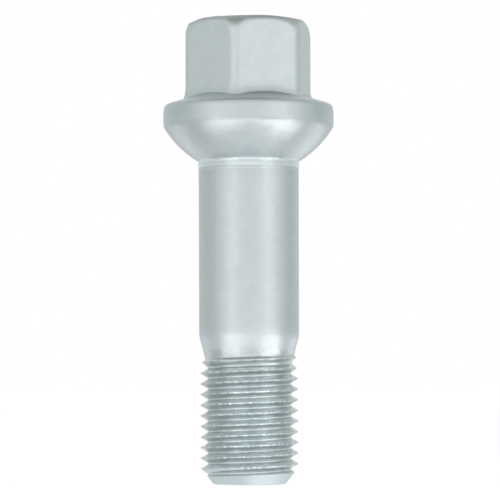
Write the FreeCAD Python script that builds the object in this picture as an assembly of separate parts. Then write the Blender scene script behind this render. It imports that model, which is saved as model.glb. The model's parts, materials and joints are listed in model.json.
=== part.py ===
import FreeCAD, Part
import math
import os

from FreeCAD import Vector

# Wheel bolt with a ball seat, forged and turned in one piece, standing on its threaded end.
# The origin is the centre of the end face, and +Z runs along the axis towards the head.
# Two flats of the hexagon face +Y and -Y. Lengths are in millimetres, angles in degrees.

# Threaded end, a plain cylinder at the crest diameter, with its chamfer measured along the radius
thread_crest_d = 13.8
thread_length = 16.2
end_chamfer_depth = 1.8
end_chamfer_angle = 38.0

# Neck where the thread runs out, and the taper that leads from it to the shank
neck_depth = 0.55
neck_runout = 2.0
neck_edge_r = 0.6
taper_angle = 15.0
taper_edge_r = 3.0

# Plain shank, with the height of the seat above the end face
shank_d = 14.16
seat_height = 45.6
seat_fillet_r = 0.5

# Collar: a spherical seat that ends at an angle from the axis, a rounded rim and a shallow cone on top
seat_ball_r = 14.0
seat_end_angle = 59.8
collar_seat_edge_r = 1.6
collar_rim = 2.9
collar_top_edge_r = 0.8
collar_cone_angle = 17.0

# Hexagon for the spanner, with a steeper cone about its foot that reaches out past the flats, and with
# a turned crown that rounds its top edge
hex_across_flats = 16.5
hex_corner_r = 1.8
hex_height = 10.9
hex_foot = 1.35
hex_foot_angle = 30.0
crown_d = 16.5
crown_angle = 55.0
crown_edge_r = 2.0

hex_sides = 6
half_side = math.pi / hex_sides


def rise(run, angle):
    """Height gained over a run by a slope at this angle to the horizontal."""
    return run * math.tan(math.radians(angle))


# Radii that follow from the sizes above
thread_r = thread_crest_d / 2
end_face_r = thread_r - end_chamfer_depth
neck_r = thread_r - neck_depth
shank_r = shank_d / 2
collar_r = seat_ball_r * math.sin(math.radians(seat_end_angle))
hex_flat_r = hex_across_flats / 2
hex_corner_centre_r = (hex_flat_r - hex_corner_r) / math.cos(half_side)
hex_reach_r = hex_corner_centre_r + hex_corner_r
hex_foot_r = hex_flat_r + hex_foot
crown_r = crown_d / 2

# Heights that follow, from the end face up
chamfer_top = rise(end_chamfer_depth, 90 - end_chamfer_angle)
neck_height = thread_length + neck_runout
taper_top = neck_height + rise(abs(shank_r - neck_r), 90 - taper_angle)
ball_height = seat_height + math.sqrt(seat_ball_r**2 - shank_r**2)
rim_bottom = ball_height - seat_ball_r * math.cos(math.radians(seat_end_angle))
rim_top = rim_bottom + collar_rim


def cone_height(radius):
    """Height of the cone on top of the collar at this distance from the axis."""
    return rim_top + rise(collar_r - radius, collar_cone_angle)


foot_height = cone_height(hex_foot_r)
head_top = cone_height(hex_flat_r) + hex_height


def at(radius, height):
    """A point of a turned profile."""
    return Vector(radius, 0, height)


def arc_about(centre, start, end):
    """The shorter arc about a centre from start to end."""
    towards_middle = (start - centre) + (end - centre)
    towards_middle.normalize()
    return Part.Arc(start, centre + towards_middle * (start - centre).Length, end)


def rounded_corner(before, corner, after, radius):
    """The arc that rounds the corner between two straight runs."""
    back = (before - corner).normalize()
    onward = (after - corner).normalize()
    half_angle = back.getAngle(onward) / 2
    setback = radius / math.tan(half_angle)
    centre = corner + (back + onward).normalize() * (radius / math.sin(half_angle))
    return arc_about(centre, corner + back * setback, corner + onward * setback)


def rounded_path(*corners):
    """Curves along straight runs through (point, radius) corners, with radius 0 where it is sharp."""
    curves = []
    here = corners[0][0]
    for (before, _), (corner, radius), (after, _) in zip(corners, corners[1:], corners[2:]):
        if radius:
            arc = rounded_corner(before, corner, after, radius)
            curves += [Part.LineSegment(here, arc.StartPoint), arc]
            here = arc.EndPoint
        else:
            curves.append(Part.LineSegment(here, corner))
            here = corner
    curves.append(Part.LineSegment(here, corners[-1][0]))
    return curves


def turned(curves):
    """The solid of revolution of a profile that starts and ends on the axis."""
    edges = [curve.toShape() for curve in curves]
    closing = Part.LineSegment(curves[-1].EndPoint, curves[0].StartPoint).toShape()
    return Part.Face(Part.Wire(edges + [closing])).revolve(Vector(), Vector(0, 0, 1), 360)


def shank_and_collar():
    """Everything below the hexagon, turned in one profile from the end face to the cones on the collar."""
    ball = at(0, ball_height)

    # Fillet between the shank and the ball, tangent to both
    fillet_r = shank_r + seat_fillet_r
    fillet_gap = seat_ball_r + seat_fillet_r
    fillet_centre = at(fillet_r, ball_height - math.sqrt(fillet_gap**2 - fillet_r**2))
    fillet_start = at(shank_r, fillet_centre.z)
    seat_start = ball + (fillet_centre - ball) * (seat_ball_r / fillet_gap)

    # Rounded edge between the ball and the rim, tangent to both
    edge_r = collar_r - collar_seat_edge_r
    edge_gap = seat_ball_r - collar_seat_edge_r
    edge_centre = at(edge_r, ball_height - math.sqrt(edge_gap**2 - edge_r**2))
    seat_end = ball + (edge_centre - ball) * (seat_ball_r / edge_gap)
    rim_start = at(collar_r, edge_centre.z)

    stem = rounded_path(
        (at(0, 0), 0),
        (at(end_face_r, 0), 0),
        (at(thread_r, chamfer_top), 0),
        (at(thread_r, thread_length), 0),
        (at(neck_r, neck_height), neck_edge_r),
        (at(shank_r, taper_top), taper_edge_r),
        (fillet_start, 0),
    )
    seat = [
        arc_about(fillet_centre, fillet_start, seat_start),
        arc_about(ball, seat_start, seat_end),
        arc_about(edge_centre, seat_end, rim_start),
    ]
    collar_top = rounded_path(
        (rim_start, 0),
        (at(collar_r, rim_top), collar_top_edge_r),
        (at(hex_foot_r, foot_height), 0),
        (at(0, foot_height + rise(hex_foot_r, hex_foot_angle)), 0),
    )
    return turned(stem + seat + collar_top)


def hexagon():
    """A prism with rounded corners, from inside the collar to the top of the head."""
    curves = []
    for side in range(hex_sides):
        corner_angle = 2 * half_side * side
        outward = Vector(math.cos(corner_angle), math.sin(corner_angle), 0)
        sideways = Vector(-outward.y, outward.x, 0) * (hex_corner_r * math.sin(half_side))
        centre = outward * hex_corner_centre_r + Vector(0, 0, rim_top)
        middle = centre + outward * (hex_corner_r * math.cos(half_side))
        corner = arc_about(centre, middle - sideways, middle + sideways)
        if curves:
            curves.append(Part.LineSegment(curves[-1].EndPoint, corner.StartPoint))
        curves.append(corner)
    curves.append(Part.LineSegment(curves[-1].EndPoint, curves[0].StartPoint))
    outline = Part.Wire([curve.toShape() for curve in curves])
    return Part.Face(outline).extrude(Vector(0, 0, head_top - rim_top))


def crown():
    """The turned envelope that rounds the hexagon's top edge and cuts back its upper corners."""
    outer_r = crown_r + hex_reach_r
    bottom = rim_top - rise(outer_r, crown_angle)
    return turned(
        rounded_path(
            (at(0, bottom), 0),
            (at(outer_r, bottom), 0),
            (at(outer_r, head_top - rise(hex_reach_r, crown_angle)), 0),
            (at(crown_r, head_top), crown_edge_r),
            (at(0, head_top), 0),
        )
    )


def wheel_bolt():
    """The whole bolt as one solid."""
    head = hexagon().common(crown())
    return shank_and_collar().fuse(head).removeSplitter().Solids[0]


os.makedirs("parts", exist_ok=True)
wheel_bolt().exportStep("parts/wheel_bolt.step")
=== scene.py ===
import json
import math

import bpy
from mathutils import Matrix, Vector, noise


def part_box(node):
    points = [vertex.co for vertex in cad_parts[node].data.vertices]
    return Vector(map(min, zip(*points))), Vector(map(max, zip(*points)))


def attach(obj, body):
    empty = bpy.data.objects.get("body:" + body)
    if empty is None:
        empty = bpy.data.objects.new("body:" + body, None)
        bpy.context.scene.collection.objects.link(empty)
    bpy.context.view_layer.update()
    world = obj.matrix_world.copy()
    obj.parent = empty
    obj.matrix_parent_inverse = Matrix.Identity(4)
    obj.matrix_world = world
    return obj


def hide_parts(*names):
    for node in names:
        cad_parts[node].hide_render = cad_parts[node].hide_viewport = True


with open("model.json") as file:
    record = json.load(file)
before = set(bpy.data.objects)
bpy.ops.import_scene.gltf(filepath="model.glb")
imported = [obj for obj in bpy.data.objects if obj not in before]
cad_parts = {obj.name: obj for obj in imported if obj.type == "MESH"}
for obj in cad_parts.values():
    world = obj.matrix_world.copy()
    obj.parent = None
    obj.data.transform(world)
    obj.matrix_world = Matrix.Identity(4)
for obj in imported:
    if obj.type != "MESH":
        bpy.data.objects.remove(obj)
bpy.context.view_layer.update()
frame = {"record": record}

# Looks of a wheel bolt that stands on its threaded end: the rolled thread, the turned seat, the forged
# head and the coating. Lengths are in millimetres and angles in degrees, until a mesh or a lamp is made.
MM = 0.001

# Sizes from the part
mounts = {mount["name"]: mount for mount in frame["record"]["mounts"]}
crest_r = mounts["thread"]["dims"]["r_mm"]
shank_r = mounts["shank"]["dims"]["r_mm"]
ball_height = mounts["ball_seat"]["pos_m"][2] / MM
head_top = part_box("wheel_bolt")[1].z / MM
collar_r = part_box("wheel_bolt")[1].x / MM

# Threaded end: its crests are dented where they are worn, lose height near the top and fade into the taper
pitch = 1.5
root_r = 5.88
crest_flat = 0.1
flank_angle = 30.0
crest_start = -0.06
crest_dent = 0.09
dent_size = 0.5
dent_limits = (-0.1, 0.4)
dent_lane = 0.5
end_face_r = 5.1
end_chamfer_angle = 38.0
end_edge_r = 0.15
crest_loss = 0.27
loss_heights = (15.3, 17.1)
fade_heights = (18.0, 18.9)

# Neck, taper and shank, with the turned band and the fine line under the seat
neck_r = 6.35
neck_height = 18.2
taper_angle = 15.0
taper_edge_r = 5.0
shank_swell = 0.035
turned_band = 0.8
turned_step = 0.035
turned_edge = 0.16
line_band = 1.35
line_step = 0.012
line_edge = 0.1

# Collar
seat_ball_r = 14.0
seat_fillet_r = 0.3
seat_edge_r = 1.6
collar_rim = 2.9
collar_top_edge_r = 0.75
rim_draft = 14.0
rim_draft_r = 3.0
collar_cone_angle = 17.0

# Head
hex_sides = 6
hex_flat_r = 8.25
hex_corner_r = 1.8
hex_foot = 1.35
hex_foot_angle = 30.0
hex_flare = 0.35
corner_flare = 0.3
hex_flare_height = 2.4
crown_r = 8.25
crown_angle = 58.0
crown_edge_r = 2.0
flat_crown_r = 1.0
corner_crown_r = 2.6

# Columns of the mesh in each half of a side of the hexagon, over its rounded corner and over its flat
corner_columns = 6
flat_columns = 14

# Steps of the mesh along the stretches of the profile, from the end face up
end_edge_steps = 4
taper_edge_steps = 8
shank_steps = 12
fillet_steps = 5
seat_steps = 24
seat_edge_steps = 6
draft_steps = 5
rim_edge_steps = 7
cone_steps = 5
foot_steps = 4
flare_steps = 6
wall_steps = 6
crown_round_steps = 5
crown_steps = 8

# Rings of the end face and of the top, and rows of a flank and of a root, as shares of their widths
end_face_rings = (0.3, 0.6, 0.85)
top_rings = (0.7, 0.35)
flank_rows = (0.4, 0.7)
root_rows = (1, 0.78, 0.52, 0.26)
sharp_angle = 30.0


def smooth_step(start, end, value):
    """0 before start, 1 after end, with a smooth change between them."""
    t = min(max((value - start) / (end - start), 0), 1)
    return t * t * (3 - 2 * t)


def slope(angle):
    """Rise over run at this angle."""
    return math.tan(math.radians(angle))


def shares(steps):
    """Equal shares of a stretch, from its first step to its end."""
    return [i / steps for i in range(1, steps + 1)]


# Rounded hexagon, with a flat on the -Y side and a corner at column angle 0
half_side = math.pi / hex_sides
corner_centre_r = (hex_flat_r - hex_corner_r) / math.cos(half_side)
flat_start = math.atan2(
    hex_corner_r * math.sin(half_side), corner_centre_r + hex_corner_r * math.cos(half_side)
)


def hex_radius(theta):
    """Distance from the axis to the hexagon's outline in this direction."""
    off_corner = abs((theta + half_side) % (2 * half_side) - half_side)
    if off_corner >= flat_start:
        return hex_flat_r / math.cos(half_side - off_corner)
    across = corner_centre_r * math.sin(off_corner)
    return corner_centre_r * math.cos(off_corner) + math.sqrt(hex_corner_r**2 - across**2)


def column_angles():
    """Angles of the mesh's columns once round, denser over the hexagon's corners."""
    half = [flat_start * i / corner_columns for i in range(corner_columns)]
    half += [flat_start + (half_side - flat_start) * i / flat_columns for i in range(flat_columns)]
    side = half + [2 * half_side - angle for angle in [half_side] + half[:0:-1]]
    return [2 * half_side * k + angle for k in range(hex_sides) for angle in side]


columns = column_angles()

# Thread profile: a narrow crest, straight flanks and a round root tangent to them
flank_rise = 1 / slope(flank_angle)
flank_line = crest_r + flank_rise * crest_flat / 2
flank_length = math.hypot(flank_rise, 1)
root_radius = (flank_rise * pitch / 2 + root_r - flank_line) / (flank_length - 1)
root_half = root_radius * flank_rise / flank_length
taper_top = neck_height + (shank_r - neck_r) / slope(taper_angle)


def thread_radius(along):
    """Radius of the full thread at a distance along the axis from a crest."""
    off_crest = abs((along + pitch / 2) % pitch - pitch / 2)
    off_root = pitch / 2 - off_crest
    if off_crest <= crest_flat / 2:
        return crest_r
    if off_root >= root_half:
        return flank_line - flank_rise * off_crest
    return root_r + root_radius - math.sqrt(root_radius**2 - off_root**2)


def taper_radius(height):
    """Radius of the taper, carried on below the neck."""
    return neck_r + (height - neck_height) * slope(taper_angle)


def stem_radius(theta, height):
    """Radius of the threaded end in this direction and at this height, from the chamfer up to the taper."""
    along = height - crest_start - pitch * theta / (2 * math.pi)
    full = thread_radius(along)
    turns = math.floor(along / pitch + 0.5) + theta / (2 * math.pi)
    along_crest = turns * 2 * math.pi * crest_r / dent_size
    wear = noise.noise(Vector((along_crest, dent_lane, dent_lane)))
    full = min(full, crest_r - crest_dent * smooth_step(*dent_limits, wear))
    depth = 1 - crest_loss * smooth_step(*loss_heights, height)
    depth -= (1 - crest_loss) * smooth_step(*fade_heights, height)
    radius = max(root_r + depth * (full - root_r), taper_radius(height))
    return min(radius, end_face_r + height * slope(end_chamfer_angle))


def arc(centre, radius, start, end, steps):
    """Profile points on an arc, at angles from the outward direction towards +Z."""
    angles = [math.radians(start + (end - start) * i / steps) for i in range(steps + 1)]
    return [(centre[0] + radius * math.cos(a), centre[1] + radius * math.sin(a)) for a in angles]


# Seat, with a fillet tangent to the turned band and a rounded edge tangent to the rim
seat_height = ball_height - math.sqrt(seat_ball_r**2 - shank_r**2)
line_r = shank_r + shank_swell + line_step
band_r = line_r + turned_step
fillet_gap = seat_ball_r + seat_fillet_r
fillet_r = band_r + seat_fillet_r
fillet_drop = math.sqrt(fillet_gap**2 - fillet_r**2)
fillet_end = math.degrees(math.acos(fillet_r / fillet_gap))
edge_gap = seat_ball_r - seat_edge_r
edge_r = collar_r - seat_edge_r
edge_drop = math.sqrt(edge_gap**2 - edge_r**2)
seat_end = math.degrees(math.acos(edge_r / edge_gap))

# Rim, which draws in towards its top and turns over into the cone
rim_bottom = ball_height - math.sqrt(seat_ball_r**2 - collar_r**2)
rim_top = rim_bottom + collar_rim
top_turn = 90 - collar_cone_angle
draft_turn = math.radians(rim_draft)
draft_in = rim_draft_r * (1 - math.cos(draft_turn))
draft_up = rim_draft_r * math.sin(draft_turn)
edge_in = collar_top_edge_r * (math.cos(draft_turn) - math.cos(math.radians(top_turn)))
edge_up = collar_top_edge_r * (math.sin(math.radians(top_turn)) - math.sin(draft_turn))
draft_start = rim_top + (draft_in + edge_in) * slope(collar_cone_angle) - edge_up - draft_up


def shank_profile():
    """Turned (radius, height) points from the taper to the band under the seat."""
    setback = taper_edge_r * math.tan(math.radians(taper_angle) / 2)
    start = taper_top + setback
    points = arc((shank_r - taper_edge_r, start), taper_edge_r, -taper_angle, 0, taper_edge_steps)
    line_start = seat_height - line_band
    band_start = seat_height - turned_band
    for share in shares(shank_steps):
        points.append((shank_r + shank_swell * share**2, start + (line_start - start) * share))
    points.append((line_r, line_start + line_edge))
    points.append((line_r, band_start))
    points.append((band_r, band_start + turned_edge))
    return points


def collar_profile():
    """Turned points from the fillet under the seat to the start of the cone."""
    fillet_centre = (fillet_r, ball_height - fillet_drop)
    points = arc(fillet_centre, seat_fillet_r, 180, 180 - fillet_end, fillet_steps)
    points += arc((0, ball_height), seat_ball_r, -fillet_end, -seat_end, seat_steps)[1:]
    points += arc((edge_r, ball_height - edge_drop), seat_edge_r, -seat_end, 0, seat_edge_steps)[1:]
    points += arc((collar_r - rim_draft_r, draft_start), rim_draft_r, 0, rim_draft, draft_steps)
    top_centre = (
        collar_r - draft_in - collar_top_edge_r * math.cos(draft_turn),
        draft_start + draft_up - collar_top_edge_r * math.sin(draft_turn),
    )
    return points + arc(top_centre, collar_top_edge_r, rim_draft, top_turn, rim_edge_steps)[1:]


collar_points = collar_profile()
cone_start_r = collar_points[-1][0]
hex_foot_r = hex_flat_r + hex_foot
crown_turn = math.radians(crown_angle)
top_flat_r = crown_r - crown_edge_r * math.tan(crown_turn / 2)


def collar_height(radius):
    """Height of the collar's top: a shallow cone, then a steeper one about the hexagon's foot."""
    cone = (collar_r - radius) * slope(collar_cone_angle)
    foot = max(hex_foot_r - radius, 0) * (slope(hex_foot_angle) - slope(collar_cone_angle))
    return rim_top + cone + foot


def crown_height(radius):
    """Height of the crown at this distance from the axis: flat, then rounded, then a straight slope."""
    if radius <= top_flat_r:
        return head_top
    if radius >= top_flat_r + crown_edge_r * math.sin(crown_turn):
        return head_top - (radius - crown_r) * math.tan(crown_turn)
    return head_top - crown_edge_r + math.sqrt(crown_edge_r**2 - (radius - top_flat_r) ** 2)


def crown_slope(radius, step=0.001):
    """Angle of the crown below the horizontal, in radians."""
    return math.atan2(crown_height(radius - step) - crown_height(radius + step), 2 * step)


def head_profile(theta):
    """Profile of the head in this direction, from the collar's rim to the edge of the flat top."""
    wall_r = hex_radius(theta)
    cornerness = (wall_r - hex_flat_r) / (corner_centre_r + hex_corner_r - hex_flat_r)
    flare = hex_flare + (corner_flare - hex_flare) * cornerness
    round_r = flat_crown_r + (corner_crown_r - flat_crown_r) * cornerness
    foot_r = wall_r + flare
    radii = [cone_start_r + (hex_foot_r - cone_start_r) * share for share in shares(cone_steps)]
    radii += [hex_foot_r + (foot_r - hex_foot_r) * share for share in shares(foot_steps)]
    points = [(radius, collar_height(radius)) for radius in radii]

    # Wall, flared at its foot, and the rounding between it and the crown
    foot_z = points[-1][1]
    turn = crown_slope(wall_r)
    setback = round_r * math.tan((math.pi / 2 - turn) / 2)
    wall_top = crown_height(wall_r) - setback
    for share in shares(flare_steps):
        points.append((wall_r + flare * (1 - share) ** 3, foot_z + hex_flare_height * share))
    flare_top = points[-1][1]
    for share in shares(wall_steps):
        points.append((wall_r, flare_top + (wall_top - flare_top) * share))
    points += arc((wall_r - round_r, wall_top), round_r, 0, 90 - math.degrees(turn), crown_round_steps)[1:]

    crown_start = points[-1][0]
    for share in shares(crown_steps):
        radius = crown_start + (top_flat_r - crown_start) * share
        points.append((radius, crown_height(radius)))
    return points


class Skin:
    """Vertices and faces of the bolt's closed mesh."""

    def __init__(self):
        self.verts = []
        self.faces = []

    def vert(self, theta, radius, height):
        self.verts.append((radius * math.cos(theta) * MM, radius * math.sin(theta) * MM, height * MM))
        return len(self.verts) - 1

    def ring(self, points):
        """One vertex on each column, from a (radius, height) point for each."""
        return [self.vert(theta, *point) for theta, point in zip(columns, points)]

    def level_ring(self, radius, height):
        """A round ring at one height."""
        return self.ring([(radius, height)] * len(columns))

    def face(self, *corners):
        """A face without its repeated corners, or none where fewer than three are left."""
        kept = [c for c, after in zip(corners, corners[1:] + corners[:1]) if c != after]
        if len(kept) > 2:
            self.faces.append(kept)

    def join(self, lower, upper):
        """The band of faces between two rings."""
        for i in range(len(lower)):
            after = (i + 1) % len(lower)
            self.face(lower[i], lower[after], upper[after], upper[i])

    def join_all(self, rings):
        """The bands between rings that follow each other."""
        for lower, upper in zip(rings, rings[1:]):
            self.join(lower, upper)

    def cap(self, ring, height, upward):
        """Closes a ring with a fan about the axis."""
        centre = self.vert(0, 0, height)
        for i in range(len(ring)):
            after = (i + 1) % len(ring)
            pair = (ring[i], ring[after]) if upward else (ring[after], ring[i])
            self.face(*pair, centre)


def thread_rows():
    """Distances along the axis from a crest to the rows of one pitch of the thread."""
    crest = crest_flat / 2
    root = pitch / 2 - root_half
    half = [0, crest, crest + crest_dent * slope(flank_angle)]
    half += [crest + (root - crest) * share for share in flank_rows]
    half += [pitch / 2 - root_half * share for share in root_rows]
    return half + [pitch / 2] + [pitch - along for along in half[:0:-1]]


def add_thread(skin, lower, bottom, upper, top):
    """Rows that climb with the thread, between two level rings."""
    rows = thread_rows()
    per_turn = len(rows)
    first = math.floor((bottom - crest_start) / pitch) - 2
    last = math.ceil((top - crest_start) / pitch) + 1
    count = (last - first) * per_turn
    grid = []
    for i, theta in enumerate(columns):
        column = []
        for j in range(count):
            along = (first + j // per_turn) * pitch + rows[j % per_turn]
            height = crest_start + along + pitch * theta / (2 * math.pi)
            if height <= bottom:
                column.append(lower[i])
            elif height >= top:
                column.append(upper[i])
            else:
                column.append(skin.vert(theta, stem_radius(theta, height), height))
        grid.append(column)
    grid.append(grid[0][per_turn:] + [upper[0]] * per_turn)
    for near, far in zip(grid, grid[1:]):
        for j in range(count - 1):
            skin.face(near[j], far[j], far[j + 1], near[j + 1])


def bolt_skin():
    """The whole bolt, from the end face up."""
    skin = Skin()
    edge_centre = (end_face_r - end_edge_r, end_edge_r)
    edge = arc(edge_centre, end_edge_r, -90, -end_chamfer_angle, end_edge_steps)
    face_rings = [(edge[0][0] * share, 0) for share in end_face_rings]
    rings = [skin.level_ring(*point) for point in face_rings + edge]
    skin.cap(rings[0], 0, upward=False)
    skin.join_all(rings)

    turned = shank_profile() + collar_points
    turned_rings = [skin.level_ring(*point) for point in turned]
    add_thread(skin, rings[-1], edge[-1][1], turned_rings[0], turned[0][1])
    skin.join_all(turned_rings)

    head_rings = [skin.ring(points) for points in zip(*[head_profile(theta) for theta in columns])]
    head_rings += [skin.level_ring(top_flat_r * share, head_top) for share in top_rings]
    skin.join_all(turned_rings[-1:] + head_rings)
    skin.cap(head_rings[-1], head_top, upward=True)
    return skin


def make_bolt():
    skin = bolt_skin()
    mesh = bpy.data.meshes.new("bolt")
    mesh.from_pydata(skin.verts, [], skin.faces)
    mesh.validate()
    mesh.shade_smooth()
    mesh.set_sharp_from_angle(angle=math.radians(sharp_angle))
    bolt = bpy.data.objects.new("bolt", mesh)
    bpy.context.scene.collection.objects.link(bolt)
    return bolt


# Coating: its silver grey, and levels of it, each with the share that is mixed in where that isn't all
steel_tint = (0.915, 1, 1.012)
turned_tones = (0.75, 0.795)
head_tones = (0.79, 0.835)
grain_tone, grain_share = 0.62, 0.2
# Painted shade on the crown, at the hexagon's foot and on the rim, and painted light on the cone
crown_tone, crown_share = 0.5, 0.75
cone_tone = 0.84
foot_tone = 0.68
rim_tone, rim_share = 0.6, 0.25
taper_tone = 0.84
# Painted shade on the end chamfer, and the level of the patch of painted light on its front
chamfer_tone, chamfer_share = 0.66, 0.5
lit_patch_tone = 0.93
band_tone = 0.93
# Level of the painted highlight lines under the seat
highlight_line_tone = 1.0

# Thread: levels at the root and at the crest of its lower and upper flanks, painted shade on the lower ones
# and painted light on the upper ones, of its marks, of the painted shade under the root and the painted
# highlight line in it, and of the painted glints on its crest
lower_flank_tones = (0.73, 0.85)
upper_flank_tones = (0.89, 0.96)
streak_tone, streak_share = 0.38, 0.38
under_root_tone, under_root_share = 0.35, 0.4
root_tone, root_share = 0.92, 0.5
speck_tone, speck_share, blot_share = 0.5, 0.3, 0.22
crest_tones = (0.66, 0.92)

# Noise: sizes, detail and the limits between which each changes the tone
grain_size, grain_detail = 0.16, 2
mottle_size, mottle_detail = 1.6, 3
streak_size, streak_detail = 0.22, 2
streak_stretch = 0.06
dot_size, dot_detail = 0.4, 2
grain_limits = (0.35, 0.65)
mottle_limits = (0.3, 0.7)
streak_limits = (0.5, 0.68)
speck_limits = (0.4, 0.62)
blot_limits = (0.42, 0.6)
glint_limits = (0.46, 0.54)
# Limits and shares of the dots in the chamfer's patch of painted light
lit_patch_limits, lit_patch_shares = (0.3, 0.5), (0.6, 1)

# Where each tone lies: heights and radii from the part's own, and the upward part of the surface's normal
head_start = (rim_top - 0.3, rim_top + 0.2)
# Places of the painted shade on the crown, foot and rim and of the painted light on the cone
crown_heights = (head_top - 3.2, head_top - 2.8)
crown_facing = (0.3, 0.8)
top_facing, top_share = (0.95, 0.995), 0.3
cone_facing = (0.88, 0.94)
cone_end = (rim_top + 1.4, rim_top + 1.6)
foot_start = (collar_height(hex_foot_r), collar_height(hex_foot_r) + 0.1)
foot_end = (rim_top + 1.4, rim_top + 1.8)
foot_facing = (0.5, 0.8)
rim_start = (rim_bottom + 0.2, rim_bottom + 1.5)
taper_start = (fade_heights[1], fade_heights[1] + 0.2)
taper_end = (taper_top - 0.6, taper_top + 1.4)
thread_end = (17.5, 19.5)
chamfer_depths = (0.02, 0.08)
# Angles round the axis where the chamfer's patch of painted light starts and ends
lit_patch_start = (-0.55, -0.15)
lit_patch_end = (0.2, 1.1)
band_end = (seat_height, seat_height + 0.1)
band_start = (seat_height - 1.05, seat_height - 0.9)
# Places of the thread's painted shade and light: flanks, under the root, the root line and the crest
flank_radii = (root_r + 0.1, crest_r)
flank_facing = (-0.5, 0.5)
under_root_start = (root_r + 0.03, root_r + 0.08)
under_root_end = (root_r + 0.2, root_r + 0.4)
root_end = (root_r + 0.005, root_r + 0.03)
crest_radii = (crest_r - 0.22, crest_r - 0.08)

# Painted highlight lines under the seat, on its fillet and on its two turned steps: drop below it, half
# width and share of each, and their soft edge
highlight_lines = ((0.12, 0.14, 0.9), (0.72, 0.12, 0.8), (1.3, 0.06, 0.3))
highlight_line_edge = 0.06

# Roughness of the turned parts and of the head, what the band, the taper and the thread change, and grain
turned_rough, head_rough = 0.31, 0.43
band_polish = 0.17
taper_rough = 0.03
thread_polish = 0.09
rough_limits, grain_rough = (0.3, 0.7), 0.04
grain_bump = 0.25
grain_height = 0.01

rising = (0, 1)
falling = (1, 0)
white = (1, 1, 1, 1)


class Nodes:
    """A node tree that is filled from short calls."""

    def __init__(self, owner):
        owner.use_nodes = True
        self.tree = owner.node_tree
        self.tree.nodes.clear()

    def add(self, kind, inputs=(), **settings):
        node = self.tree.nodes.new(kind)
        for name, value in settings.items():
            setattr(node, name, value)
        for name, value in dict(inputs).items():
            self.put(node.inputs[name], value)
        return node

    def put(self, socket, value):
        if isinstance(value, bpy.types.NodeSocket):
            self.tree.links.new(value, socket)
        else:
            socket.default_value = value

    def calc(self, operation, a, b=0.0):
        return self.add("ShaderNodeMath", {0: a, 1: b}, operation=operation).outputs[0]

    def times(self, first, *others):
        """Product of values."""
        for other in others:
            first = self.calc("MULTIPLY", first, other)
        return first

    def ramp(self, value, limits, levels=rising):
        """The first level up to the first limit, the second past the second, a straight line between."""
        inputs = {"Value": value, "From Min": limits[0], "From Max": limits[1]}
        inputs.update({"To Min": levels[0], "To Max": levels[1]})
        return self.add("ShaderNodeMapRange", inputs).outputs[0]

    def ramp_mm(self, length, limits, levels=rising):
        """A ramp over a length, with its limits in millimetres."""
        return self.ramp(length, [limit * MM for limit in limits], levels)

    def mix(self, share, first, second):
        """First where the share is 0, second where it is 1."""
        inputs = {"Factor": share, 6: first, 7: second}
        return self.add("ShaderNodeMix", inputs, data_type="RGBA").outputs[2]

    def dot(self, vector, other):
        """Part of a vector along another."""
        node = self.add("ShaderNodeVectorMath", {0: vector, 1: other}, operation="DOT_PRODUCT")
        return node.outputs["Value"]

    def length(self, vector):
        return self.add("ShaderNodeVectorMath", {0: vector}, operation="LENGTH").outputs["Value"]

    def texture(self, vector, feature, detail):
        """Noise with features of this size in millimetres."""
        inputs = {"Vector": vector, "Scale": 1 / (feature * MM), "Detail": detail}
        return self.add("ShaderNodeTexNoise", inputs).outputs[0]


class Surface:
    """Where a point of the bolt lies, how it faces and the noise there, as sockets of its material."""

    def __init__(self, nodes):
        place = nodes.add("ShaderNodeTexCoord").outputs["Object"]
        axes = nodes.add("ShaderNodeSeparateXYZ", {0: place}).outputs
        normal = nodes.add("ShaderNodeNewGeometry").outputs["Normal"]
        level = nodes.add("ShaderNodeCombineXYZ", {"X": axes["X"], "Y": axes["Y"]}).outputs[0]
        self.height = axes["Z"]
        self.radius = nodes.length(level)
        self.upward = nodes.add("ShaderNodeSeparateXYZ", {0: normal}).outputs["Z"]
        self.around = nodes.calc("ARCTAN2", axes["X"], nodes.calc("MULTIPLY", axes["Y"], -1))
        self.grain = nodes.texture(place, grain_size, grain_detail)
        self.mottle = nodes.texture(place, mottle_size, mottle_detail)
        self.dots = nodes.texture(place, dot_size, dot_detail)

        # Streaks run along the thread
        climb = nodes.calc("SUBTRACT", self.height, nodes.times(self.around, pitch * MM / (2 * math.pi)))
        along = nodes.times(self.around, crest_r * MM, streak_stretch)
        lane = nodes.add("ShaderNodeCombineXYZ", {"X": along, "Y": climb}).outputs[0]
        self.streak = nodes.texture(lane, streak_size, streak_detail)


def steel(level):
    """Silver grey of the coating at this level."""
    return (*[channel * level for channel in steel_tint], 1)


def steels(levels):
    """Silver greys at several levels."""
    return [steel(level) for level in levels]


def head_tone(nodes, at, tone, on_head):
    """Painted shade on the crown and at the hexagon's foot, painted light on the cone, and a rim that
    darkens upwards in painted shade.
    """
    facing = nodes.ramp(at.upward, top_facing, (1, top_share))
    facing = nodes.times(nodes.ramp(at.upward, crown_facing), facing)
    on_crown = nodes.times(nodes.ramp_mm(at.height, crown_heights), facing)
    tone = nodes.mix(nodes.times(on_crown, crown_share), tone, steel(crown_tone))
    on_cone = nodes.ramp_mm(at.height, cone_end, falling)
    on_cone = nodes.times(nodes.ramp(at.upward, cone_facing), on_cone)
    tone = nodes.mix(on_cone, tone, steel(cone_tone))
    on_foot = nodes.times(nodes.ramp_mm(at.height, foot_end, falling), nodes.ramp(at.upward, foot_facing))
    on_foot = nodes.times(nodes.ramp_mm(at.height, foot_start), on_foot)
    tone = nodes.mix(on_foot, tone, steel(foot_tone))
    on_rim = nodes.calc("SUBTRACT", nodes.ramp_mm(at.height, rim_start), on_head)
    return nodes.mix(nodes.times(on_rim, rim_share), tone, steel(rim_tone))


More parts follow.
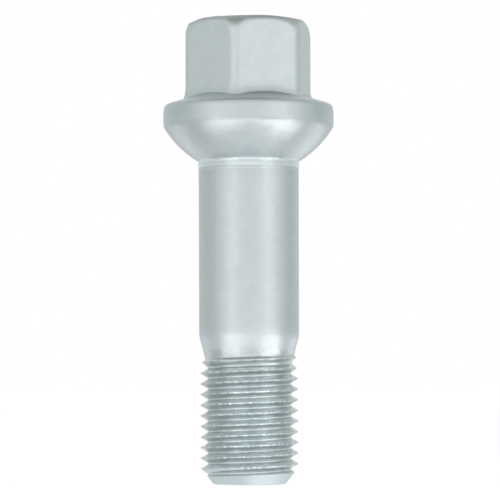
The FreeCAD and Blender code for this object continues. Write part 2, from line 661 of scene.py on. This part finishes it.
def thread_tone(nodes, at):
    """Painted shade on the lower flanks and towards the root, painted light on the upper flanks, painted
    shade under the root, a painted highlight line in the root and painted glints on the worn crest.
    """
    # Painted shade on the lower flanks and towards the root, painted light on the upper flanks
    outer = nodes.ramp_mm(at.radius, flank_radii)
    above = nodes.ramp(at.upward, flank_facing)
    lower_flank = nodes.mix(outer, *steels(lower_flank_tones))
    upper_flank = nodes.mix(outer, *steels(upper_flank_tones))
    flank = nodes.mix(above, lower_flank, upper_flank)
    flank = nodes.mix(nodes.ramp(at.streak, streak_limits, (0, streak_share)), flank, steel(streak_tone))
    # Painted shade under the root and a painted highlight line in it
    under_root = nodes.ramp_mm(at.radius, under_root_end, falling)
    under_root = nodes.times(nodes.ramp_mm(at.radius, under_root_start), under_root, above, under_root_share)
    flank = nodes.mix(under_root, flank, steel(under_root_tone))
    flank = nodes.mix(nodes.ramp_mm(at.radius, root_end, (root_share, 0)), flank, steel(root_tone))
    flank = nodes.mix(nodes.ramp(at.grain, speck_limits, (0, speck_share)), flank, steel(speck_tone))
    flank = nodes.mix(nodes.ramp(at.mottle, blot_limits, (0, blot_share)), flank, steel(speck_tone))
    # Painted glints on the crest
    painted_glints = nodes.mix(nodes.ramp(at.dots, glint_limits), *steels(crest_tones))
    return nodes.mix(nodes.ramp_mm(at.radius, crest_radii), flank, painted_glints)


def chamfer_shade_and_light(nodes, at, tone, on_chamfer):
    """Painted shade on the end chamfer, with a lighter patch of painted light on its front."""
    tone = nodes.mix(nodes.times(on_chamfer, chamfer_share), tone, steel(chamfer_tone))
    lit_patch = nodes.times(nodes.ramp(at.around, lit_patch_start), nodes.ramp(at.around, lit_patch_end, falling))
    lit_patch = nodes.times(lit_patch, on_chamfer, nodes.ramp(at.dots, lit_patch_limits, lit_patch_shares))
    return nodes.mix(lit_patch, tone, steel(lit_patch_tone))


def band_and_highlight_lines(nodes, at, tone, on_band):
    """The bright turned band under the seat, and painted highlight lines across it."""
    tone = nodes.mix(on_band, tone, steel(band_tone))
    for drop, half_width, share in highlight_lines:
        off_line = nodes.calc("ABSOLUTE", nodes.calc("SUBTRACT", at.height, (seat_height - drop) * MM))
        on_line = nodes.ramp_mm(off_line, (half_width, half_width + highlight_line_edge), (share, 0))
        tone = nodes.mix(on_line, tone, steel(highlight_line_tone))
    return tone


def coating():
    """Silver-grey flake coating: matt and grainy on the forged head, brighter on turned and rolled parts."""
    material = bpy.data.materials.new("coated_steel")
    nodes = Nodes(material)
    at = Surface(nodes)
    on_head = nodes.ramp_mm(at.height, head_start)
    on_taper = nodes.ramp_mm(at.height, taper_end, falling)
    on_taper = nodes.times(nodes.ramp_mm(at.height, taper_start), on_taper)
    chamfer_r = nodes.calc("ADD", nodes.times(at.height, slope(end_chamfer_angle)), end_face_r * MM)
    off_chamfer = nodes.calc("SUBTRACT", chamfer_r, at.radius)
    on_chamfer = nodes.ramp_mm(off_chamfer, chamfer_depths, falling)
    on_thread = nodes.ramp_mm(at.height, thread_end, falling)
    on_thread = nodes.times(on_thread, nodes.ramp_mm(off_chamfer, chamfer_depths))
    on_band = nodes.times(nodes.ramp_mm(at.height, band_end, falling), nodes.ramp_mm(at.height, band_start))

    darker, lighter = [nodes.mix(on_head, *steels(levels)) for levels in zip(turned_tones, head_tones)]
    tone = nodes.mix(nodes.ramp(at.mottle, mottle_limits), darker, lighter)
    tone = nodes.mix(nodes.ramp(at.grain, grain_limits, (0, grain_share)), tone, steel(grain_tone))
    # Painted shade on the crown, the foot and the rim, and painted light on the cone
    tone = head_tone(nodes, at, tone, on_head)
    tone = nodes.mix(on_taper, tone, steel(taper_tone))
    # Painted shade on the end chamfer and painted light on its front
    tone = chamfer_shade_and_light(nodes, at, tone, on_chamfer)
    # Painted shade and light on the thread's flanks, root and crest
    tone = nodes.mix(on_thread, tone, thread_tone(nodes, at))
    # Painted highlight lines under the seat
    tone = band_and_highlight_lines(nodes, at, tone, on_band)

    rough = nodes.ramp(on_head, rising, (turned_rough, head_rough))
    rough = nodes.calc("SUBTRACT", rough, nodes.times(on_band, band_polish))
    rough = nodes.calc("ADD", rough, nodes.times(on_taper, taper_rough))
    rough = nodes.calc("SUBTRACT", rough, nodes.times(on_thread, thread_polish))
    rough = nodes.calc("ADD", rough, nodes.ramp(at.grain, rough_limits, (-grain_rough, grain_rough)))
    relief = {"Height": at.grain, "Strength": grain_bump, "Distance": grain_height * MM}
    bump = nodes.add("ShaderNodeBump", relief).outputs[0]
    inputs = {"Base Color": tone, "Metallic": 1.0, "Roughness": rough, "Normal": bump}
    shader = nodes.add("ShaderNodeBsdfPrincipled", inputs).outputs[0]
    nodes.add("ShaderNodeOutputMaterial", {"Surface": shader})
    return material


# Camera, at the angle, distance and height of the photograph
camera_azimuth = -18.2
camera_distance = 386.0
camera_height = 15.4
camera_aim = 33.07
camera_aside = 0.16
camera_roll = -0.17
camera_lens = 196.2
camera_clip = 10.0
sensor_width = 36.0

camera_turn = math.radians(camera_azimuth)
towards_camera = Vector((math.sin(camera_turn), -math.cos(camera_turn), 0))
camera_right = Vector((math.cos(camera_turn), math.sin(camera_turn), 0))
up = Vector((0, 0, 1))

# Floor: paper that mirrors lighter near the bolt and a little darker at both sides, as painted light and
# painted shade in its cooler glow for mirrored rays
paper_grey = (0.9, 0.9, 0.9, 1)
mirrored_tint = (0.97, 1.0, 1.02, 1)
paper_glow = 1.08
glow_reach, glow_shares = (8, 36), (0.7, 0.4)
side_shade_limits, side_shade_shares = (0.75, 0.95), (1, 0.88)
camera_share = 0.9


def seen_directly(nodes):
    """1 for rays from the camera and for mirrored or refracted rays, 0 for others."""
    path = nodes.add("ShaderNodeLightPath").outputs
    seen = nodes.calc("MAXIMUM", path["Is Camera Ray"], path["Is Glossy Ray"])
    return nodes.calc("MAXIMUM", seen, path["Is Transmission Ray"])


def floor_paper():
    """White paper that keeps the shadow, and glows in mirrored rays with painted light near the bolt and
    painted shade at both sides.
    """
    material = bpy.data.materials.new("floor_paper")
    nodes = Nodes(material)
    paper = nodes.add("ShaderNodeBsdfDiffuse", {"Color": paper_grey}).outputs[0]
    path = nodes.add("ShaderNodeLightPath").outputs
    shade = nodes.mix(path["Is Camera Ray"], mirrored_tint, white)
    glow = nodes.add("ShaderNodeEmission", {"Color": shade, "Strength": paper_glow}).outputs[0]
    mirrored = nodes.calc("MAXIMUM", path["Is Glossy Ray"], path["Is Transmission Ray"])
    place = nodes.add("ShaderNodeTexCoord").outputs["Object"]
    reach = nodes.length(place)
    sideways = nodes.calc("DIVIDE", nodes.calc("ABSOLUTE", nodes.dot(place, camera_right)), reach)
    # Painted light in the mirrored glow near the bolt, and painted shade at both sides
    painted_glow = nodes.ramp_mm(reach, glow_reach, glow_shares)
    painted_glow = nodes.times(painted_glow, nodes.ramp(sideways, side_shade_limits, side_shade_shares))
    share = nodes.times(mirrored, painted_glow)
    share = nodes.calc("MAXIMUM", share, nodes.times(path["Is Camera Ray"], camera_share))
    mixed = nodes.add("ShaderNodeMixShader", {0: share, 1: paper, 2: glow}).outputs[0]
    nodes.add("ShaderNodeOutputMaterial", {"Surface": mixed})
    return material


def make_floor(size):
    mesh = bpy.data.meshes.new("floor")
    half = size / 2
    corners = [(-half, -half, 0), (half, -half, 0), (half, half, 0), (-half, half, 0)]
    mesh.from_pydata(corners, [], [(0, 1, 2, 3)])
    mesh.materials.append(floor_paper())
    floor = bpy.data.objects.new("floor", mesh)
    bpy.context.scene.collection.objects.link(floor)
    return floor


def make_camera():
    data = bpy.data.cameras.new("camera")
    data.lens = camera_lens
    data.sensor_width = sensor_width
    data.clip_start = camera_clip * MM
    camera = bpy.data.objects.new("camera", data)
    place = (towards_camera * camera_distance + up * camera_height) * MM
    aim = (camera_right * camera_aside + up * camera_aim) * MM
    facing = (aim - place).to_track_quat("-Z", "Y").to_matrix()
    facing = facing @ Matrix.Rotation(math.radians(camera_roll), 3, "Z")
    camera.matrix_world = Matrix.Translation(place) @ facing.to_4x4()
    bpy.context.scene.collection.objects.link(camera)
    bpy.context.scene.camera = camera


# Soft boxes: angle from the camera's side towards its right, and radiance
boxes = {"left_box": (-38, 0.15), "right_box": (42, 0.2)}
box_reach = 498.0
box_height = 76.6
box_size = (250, 300)

# Lamps over the floor that light strips of it: angle and power
strips = {"left_strip": (-42, 0.053), "right_strip": (53.5, 0.138)}
strip_reach = (40, 220)
strip_width = 46.0
strip_height = 160.0
strip_spread = 8.0
strip_colour = (1.0, 0.93, 0.91)

# Lamps that light pools on the floor: angle, distance from the axis, height, radius of the pool and power
pools = {
    "front_wash": (0, 92, 500, 75, 7.2),
    "far_wash": (0, 400, 1000, 360, 16),
    "right_far": (60, 260, 800, 170, 12),
    "left_far": (-48, 260, 800, 170, 6),
    "back_left": (-140, 108, 500, 68, 3.6),
    "back_right": (136, 106, 500, 75, 6.2),
    "right_near": (70, 28, 500, 14, 6),
}
pool_softness = 10.0

# Low lamps in front that light the thread: angle and power
low_spots = ((-42, 0.12), (-14, 0.28), (16, 0.33), (44, 0.46))
low_reach = 500.0
low_height = 9.0
low_radius = 10.0
low_softness = 6.0


def spot_place(azimuth, reach, height):
    """A place by its angle from the camera's side, its distance from the axis and its height."""
    side = math.radians(azimuth)
    level = towards_camera * math.cos(side) + camera_right * math.sin(side)
    return (level * reach + up * height) * MM


def add_lamp(name, data, place):
    lamp = bpy.data.objects.new(name, data)
    lamp.location = place
    bpy.context.scene.collection.objects.link(lamp)
    return lamp


def aim_lamp(lamp, place, aim):
    lamp.rotation_euler = (place - aim).to_track_quat("Z", "Y").to_euler()


def make_area(name, width, length):
    data = bpy.data.lights.new(name, "AREA")
    data.shape = "RECTANGLE"
    data.size = width * MM
    data.size_y = length * MM
    return data


def make_box(name, azimuth, radiance):
    """A soft box that faces the bolt."""
    data = make_area(name, *box_size)
    data.energy = radiance * math.pi * data.size * data.size_y
    place = spot_place(azimuth, box_reach, box_height)
    aim_lamp(add_lamp(name, data, place), place, up * camera_aim * MM)


def make_strip(name, azimuth, power):
    """A lamp over the floor that lights a strip of it, from near the bolt outwards."""
    near, far = strip_reach
    data = make_area(name, strip_width, far - near)
    data.spread = math.radians(strip_spread)
    data.energy = power
    data.color = strip_colour
    lamp = add_lamp(name, data, spot_place(azimuth, (near + far) / 2, strip_height))
    lamp.rotation_euler.z = camera_turn + math.radians(azimuth)


def make_spot(name, place, aim, radius, power, softness):
    """A lamp with a beam of this radius where it lands."""
    data = bpy.data.lights.new(name, "SPOT")
    data.energy = power
    data.spot_size = 2 * math.atan(radius * MM / (place - aim).length)
    data.spot_blend = 1.0
    data.shadow_soft_size = softness * MM
    aim_lamp(add_lamp(name, data, place), place, aim)


def make_lamps():
    for name, (azimuth, radiance) in boxes.items():
        make_box(name, azimuth, radiance)
    for name, (azimuth, power) in strips.items():
        make_strip(name, azimuth, power)
    for name, (azimuth, reach, height, radius, power) in pools.items():
        place = spot_place(azimuth, reach, height)
        make_spot(name, place, spot_place(azimuth, reach, 0), radius, power, pool_softness)
    for azimuth, power in low_spots:
        place = spot_place(azimuth, low_reach, low_height)
        make_spot("low_spot", place, spot_place(0, 0, low_height), low_radius, power, low_softness)


# Level of the studio at angles round the bolt, in degrees from the camera's side towards its right
studio_ring = [
    (-180, 0.70),
    (-150, 0.64),
    (-110, 0.565),
    (-85, 0.62),
    (-65, 0.88),
    (0, 0.90),
    (63, 0.92),
    (84, 0.67),
    (110, 0.53),
    (130, 0.61),
    (150, 0.67),
    (180, 0.70),
]

# Cool tint of its darker sides, the rise at which it darkens overhead, and its levels there
side_tint = 0.058
tint_levels = (0.85, 0.65)
overhead_rise = (0.36, 0.9)
ahead_limits = (-0.3, 0.1)
zenith_behind = (0.64, 0.64, 0.62, 1)
zenith_ahead = (0.33, 0.33, 0.31, 1)
ambient_level = 0.35


def fill_ring(ramp):
    """The studio's levels on a colour ramp that runs once round."""
    stops = ramp.elements
    while len(stops) < len(studio_ring):
        stops.new(1.0)
    for stop, (angle, level) in zip(stops, studio_ring):
        stop.position = angle / 360 + 0.5
        tinted = level * (1 + side_tint * smooth_step(*tint_levels, level))
        stop.color = (level, tinted, tinted, 1)


def make_world():
    """A white studio that darkens overhead and at both sides."""
    world = bpy.data.worlds.new("studio")
    bpy.context.scene.world = world
    nodes = Nodes(world)
    path = nodes.add("ShaderNodeLightPath").outputs
    direction = nodes.add("ShaderNodeTexCoord").outputs["Generated"]
    rise = nodes.add("ShaderNodeSeparateXYZ", {0: direction}).outputs["Z"]
    ahead = nodes.dot(direction, towards_camera)
    round_angle = nodes.calc("ARCTAN2", nodes.dot(direction, camera_right), ahead)
    ring = nodes.add("ShaderNodeValToRGB", {0: nodes.ramp(round_angle, (-math.pi, math.pi))})
    fill_ring(ring.color_ramp)
    zenith = nodes.mix(nodes.ramp(ahead, ahead_limits), zenith_behind, zenith_ahead)
    studio = nodes.mix(nodes.ramp(rise, overhead_rise), ring.outputs["Color"], zenith)
    seen = nodes.mix(path["Is Camera Ray"], studio, white)
    backdrop = nodes.add("ShaderNodeBackground", {"Color": seen, "Strength": 1.0}).outputs[0]
    ambient = nodes.add("ShaderNodeBackground", {"Color": white, "Strength": ambient_level}).outputs[0]
    mixed = {0: seen_directly(nodes), 1: ambient, 2: backdrop}
    shader = nodes.add("ShaderNodeMixShader", mixed).outputs[0]
    nodes.add("ShaderNodeOutputWorld", {"Surface": shader})


bolt = make_bolt()
bolt.data.materials.append(coating())
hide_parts("wheel_bolt")
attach(bolt, "root")

make_floor(size=6.0)
make_camera()
make_lamps()
make_world()
bpy.context.scene.view_settings.view_transform = "Standard"
